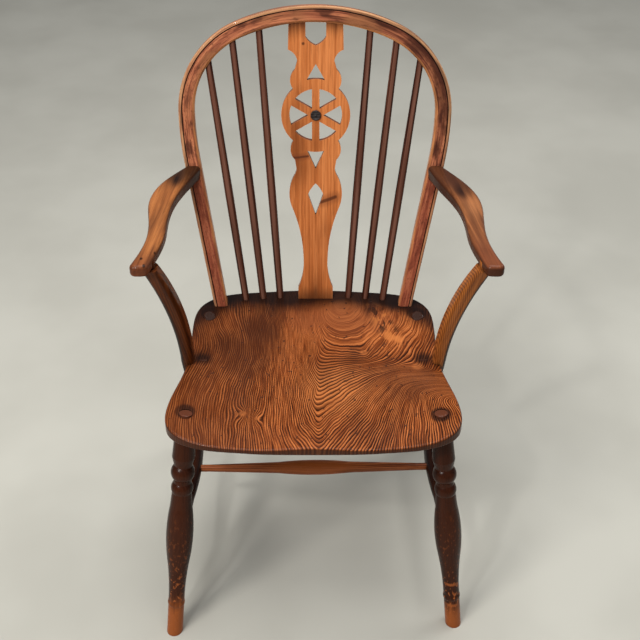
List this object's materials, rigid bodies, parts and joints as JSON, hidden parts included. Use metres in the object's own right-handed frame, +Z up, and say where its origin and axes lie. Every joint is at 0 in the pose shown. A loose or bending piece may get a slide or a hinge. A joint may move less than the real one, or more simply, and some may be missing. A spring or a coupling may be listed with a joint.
{
  "type": "wheelback armchair",
  "caption": "Bow-back wooden armchair with a wheel-pierced splat between slim sticks, a saddled seat, shaped arms and turned legs tied by an H stretcher.",
  "frame": {"origin": "on the floor, under the middle of the bounding box", "axes": "+Z up; the chair faces -Y, so +Y runs from the front of the seat to the back; +X is to the right as seen from the front"},
  "size_m": [0.5279, 0.5067, 0.8934],
  "materials": {
    "screw_steel": "aged dull steel",
    "bow_ash": "dark red-brown stained ash under old varnish",
    "wedge_wood": "plain unpolished hardwood end grain",
    "cross_stretcher_wood": "mid-brown stained beech, rubbed",
    "leg_beech": "very dark red-brown varnish, worn lighter at the feet",
    "arm_elm": "orange-brown elm, handled to a gloss at the tips",
    "support_wood": "red-brown stained elm with strong grain",
    "stick_wood": "very dark brown varnish",
    "stretcher_wood": "very dark red-brown varnish",
    "elm_seat": "old wax polish over brown-stained elm, bold grain, soft sheen",
    "splat_elm": "honey-brown stained elm, waxed",
    "button_wood": "nearly black stained turned hardwood"
  },
  "bodies": {
    "root": {"arm_screws": "screw_steel", "bow": "bow_ash", "bow_wedges": "wedge_wood", "cross_stretcher": "cross_stretcher_wood", "front_left_leg": "leg_beech", "front_right_leg": "leg_beech", "left_arm": "arm_elm", "left_arm_support": "support_wood", "left_inner_stick": "stick_wood", "left_middle_stick": "stick_wood", "left_outer_stick": "stick_wood", "left_side_stretcher": "stretcher_wood", "rear_left_leg": "leg_beech", "rear_right_leg": "leg_beech", "right_arm": "arm_elm", "right_arm_support": "support_wood", "right_inner_stick": "stick_wood", "right_middle_stick": "stick_wood", "right_outer_stick": "stick_wood", "right_side_stretcher": "stretcher_wood", "seat": "elm_seat", "splat": "splat_elm", "support_screws": "screw_steel", "wheel_button": "button_wood"}
  },
  "joints": []
}
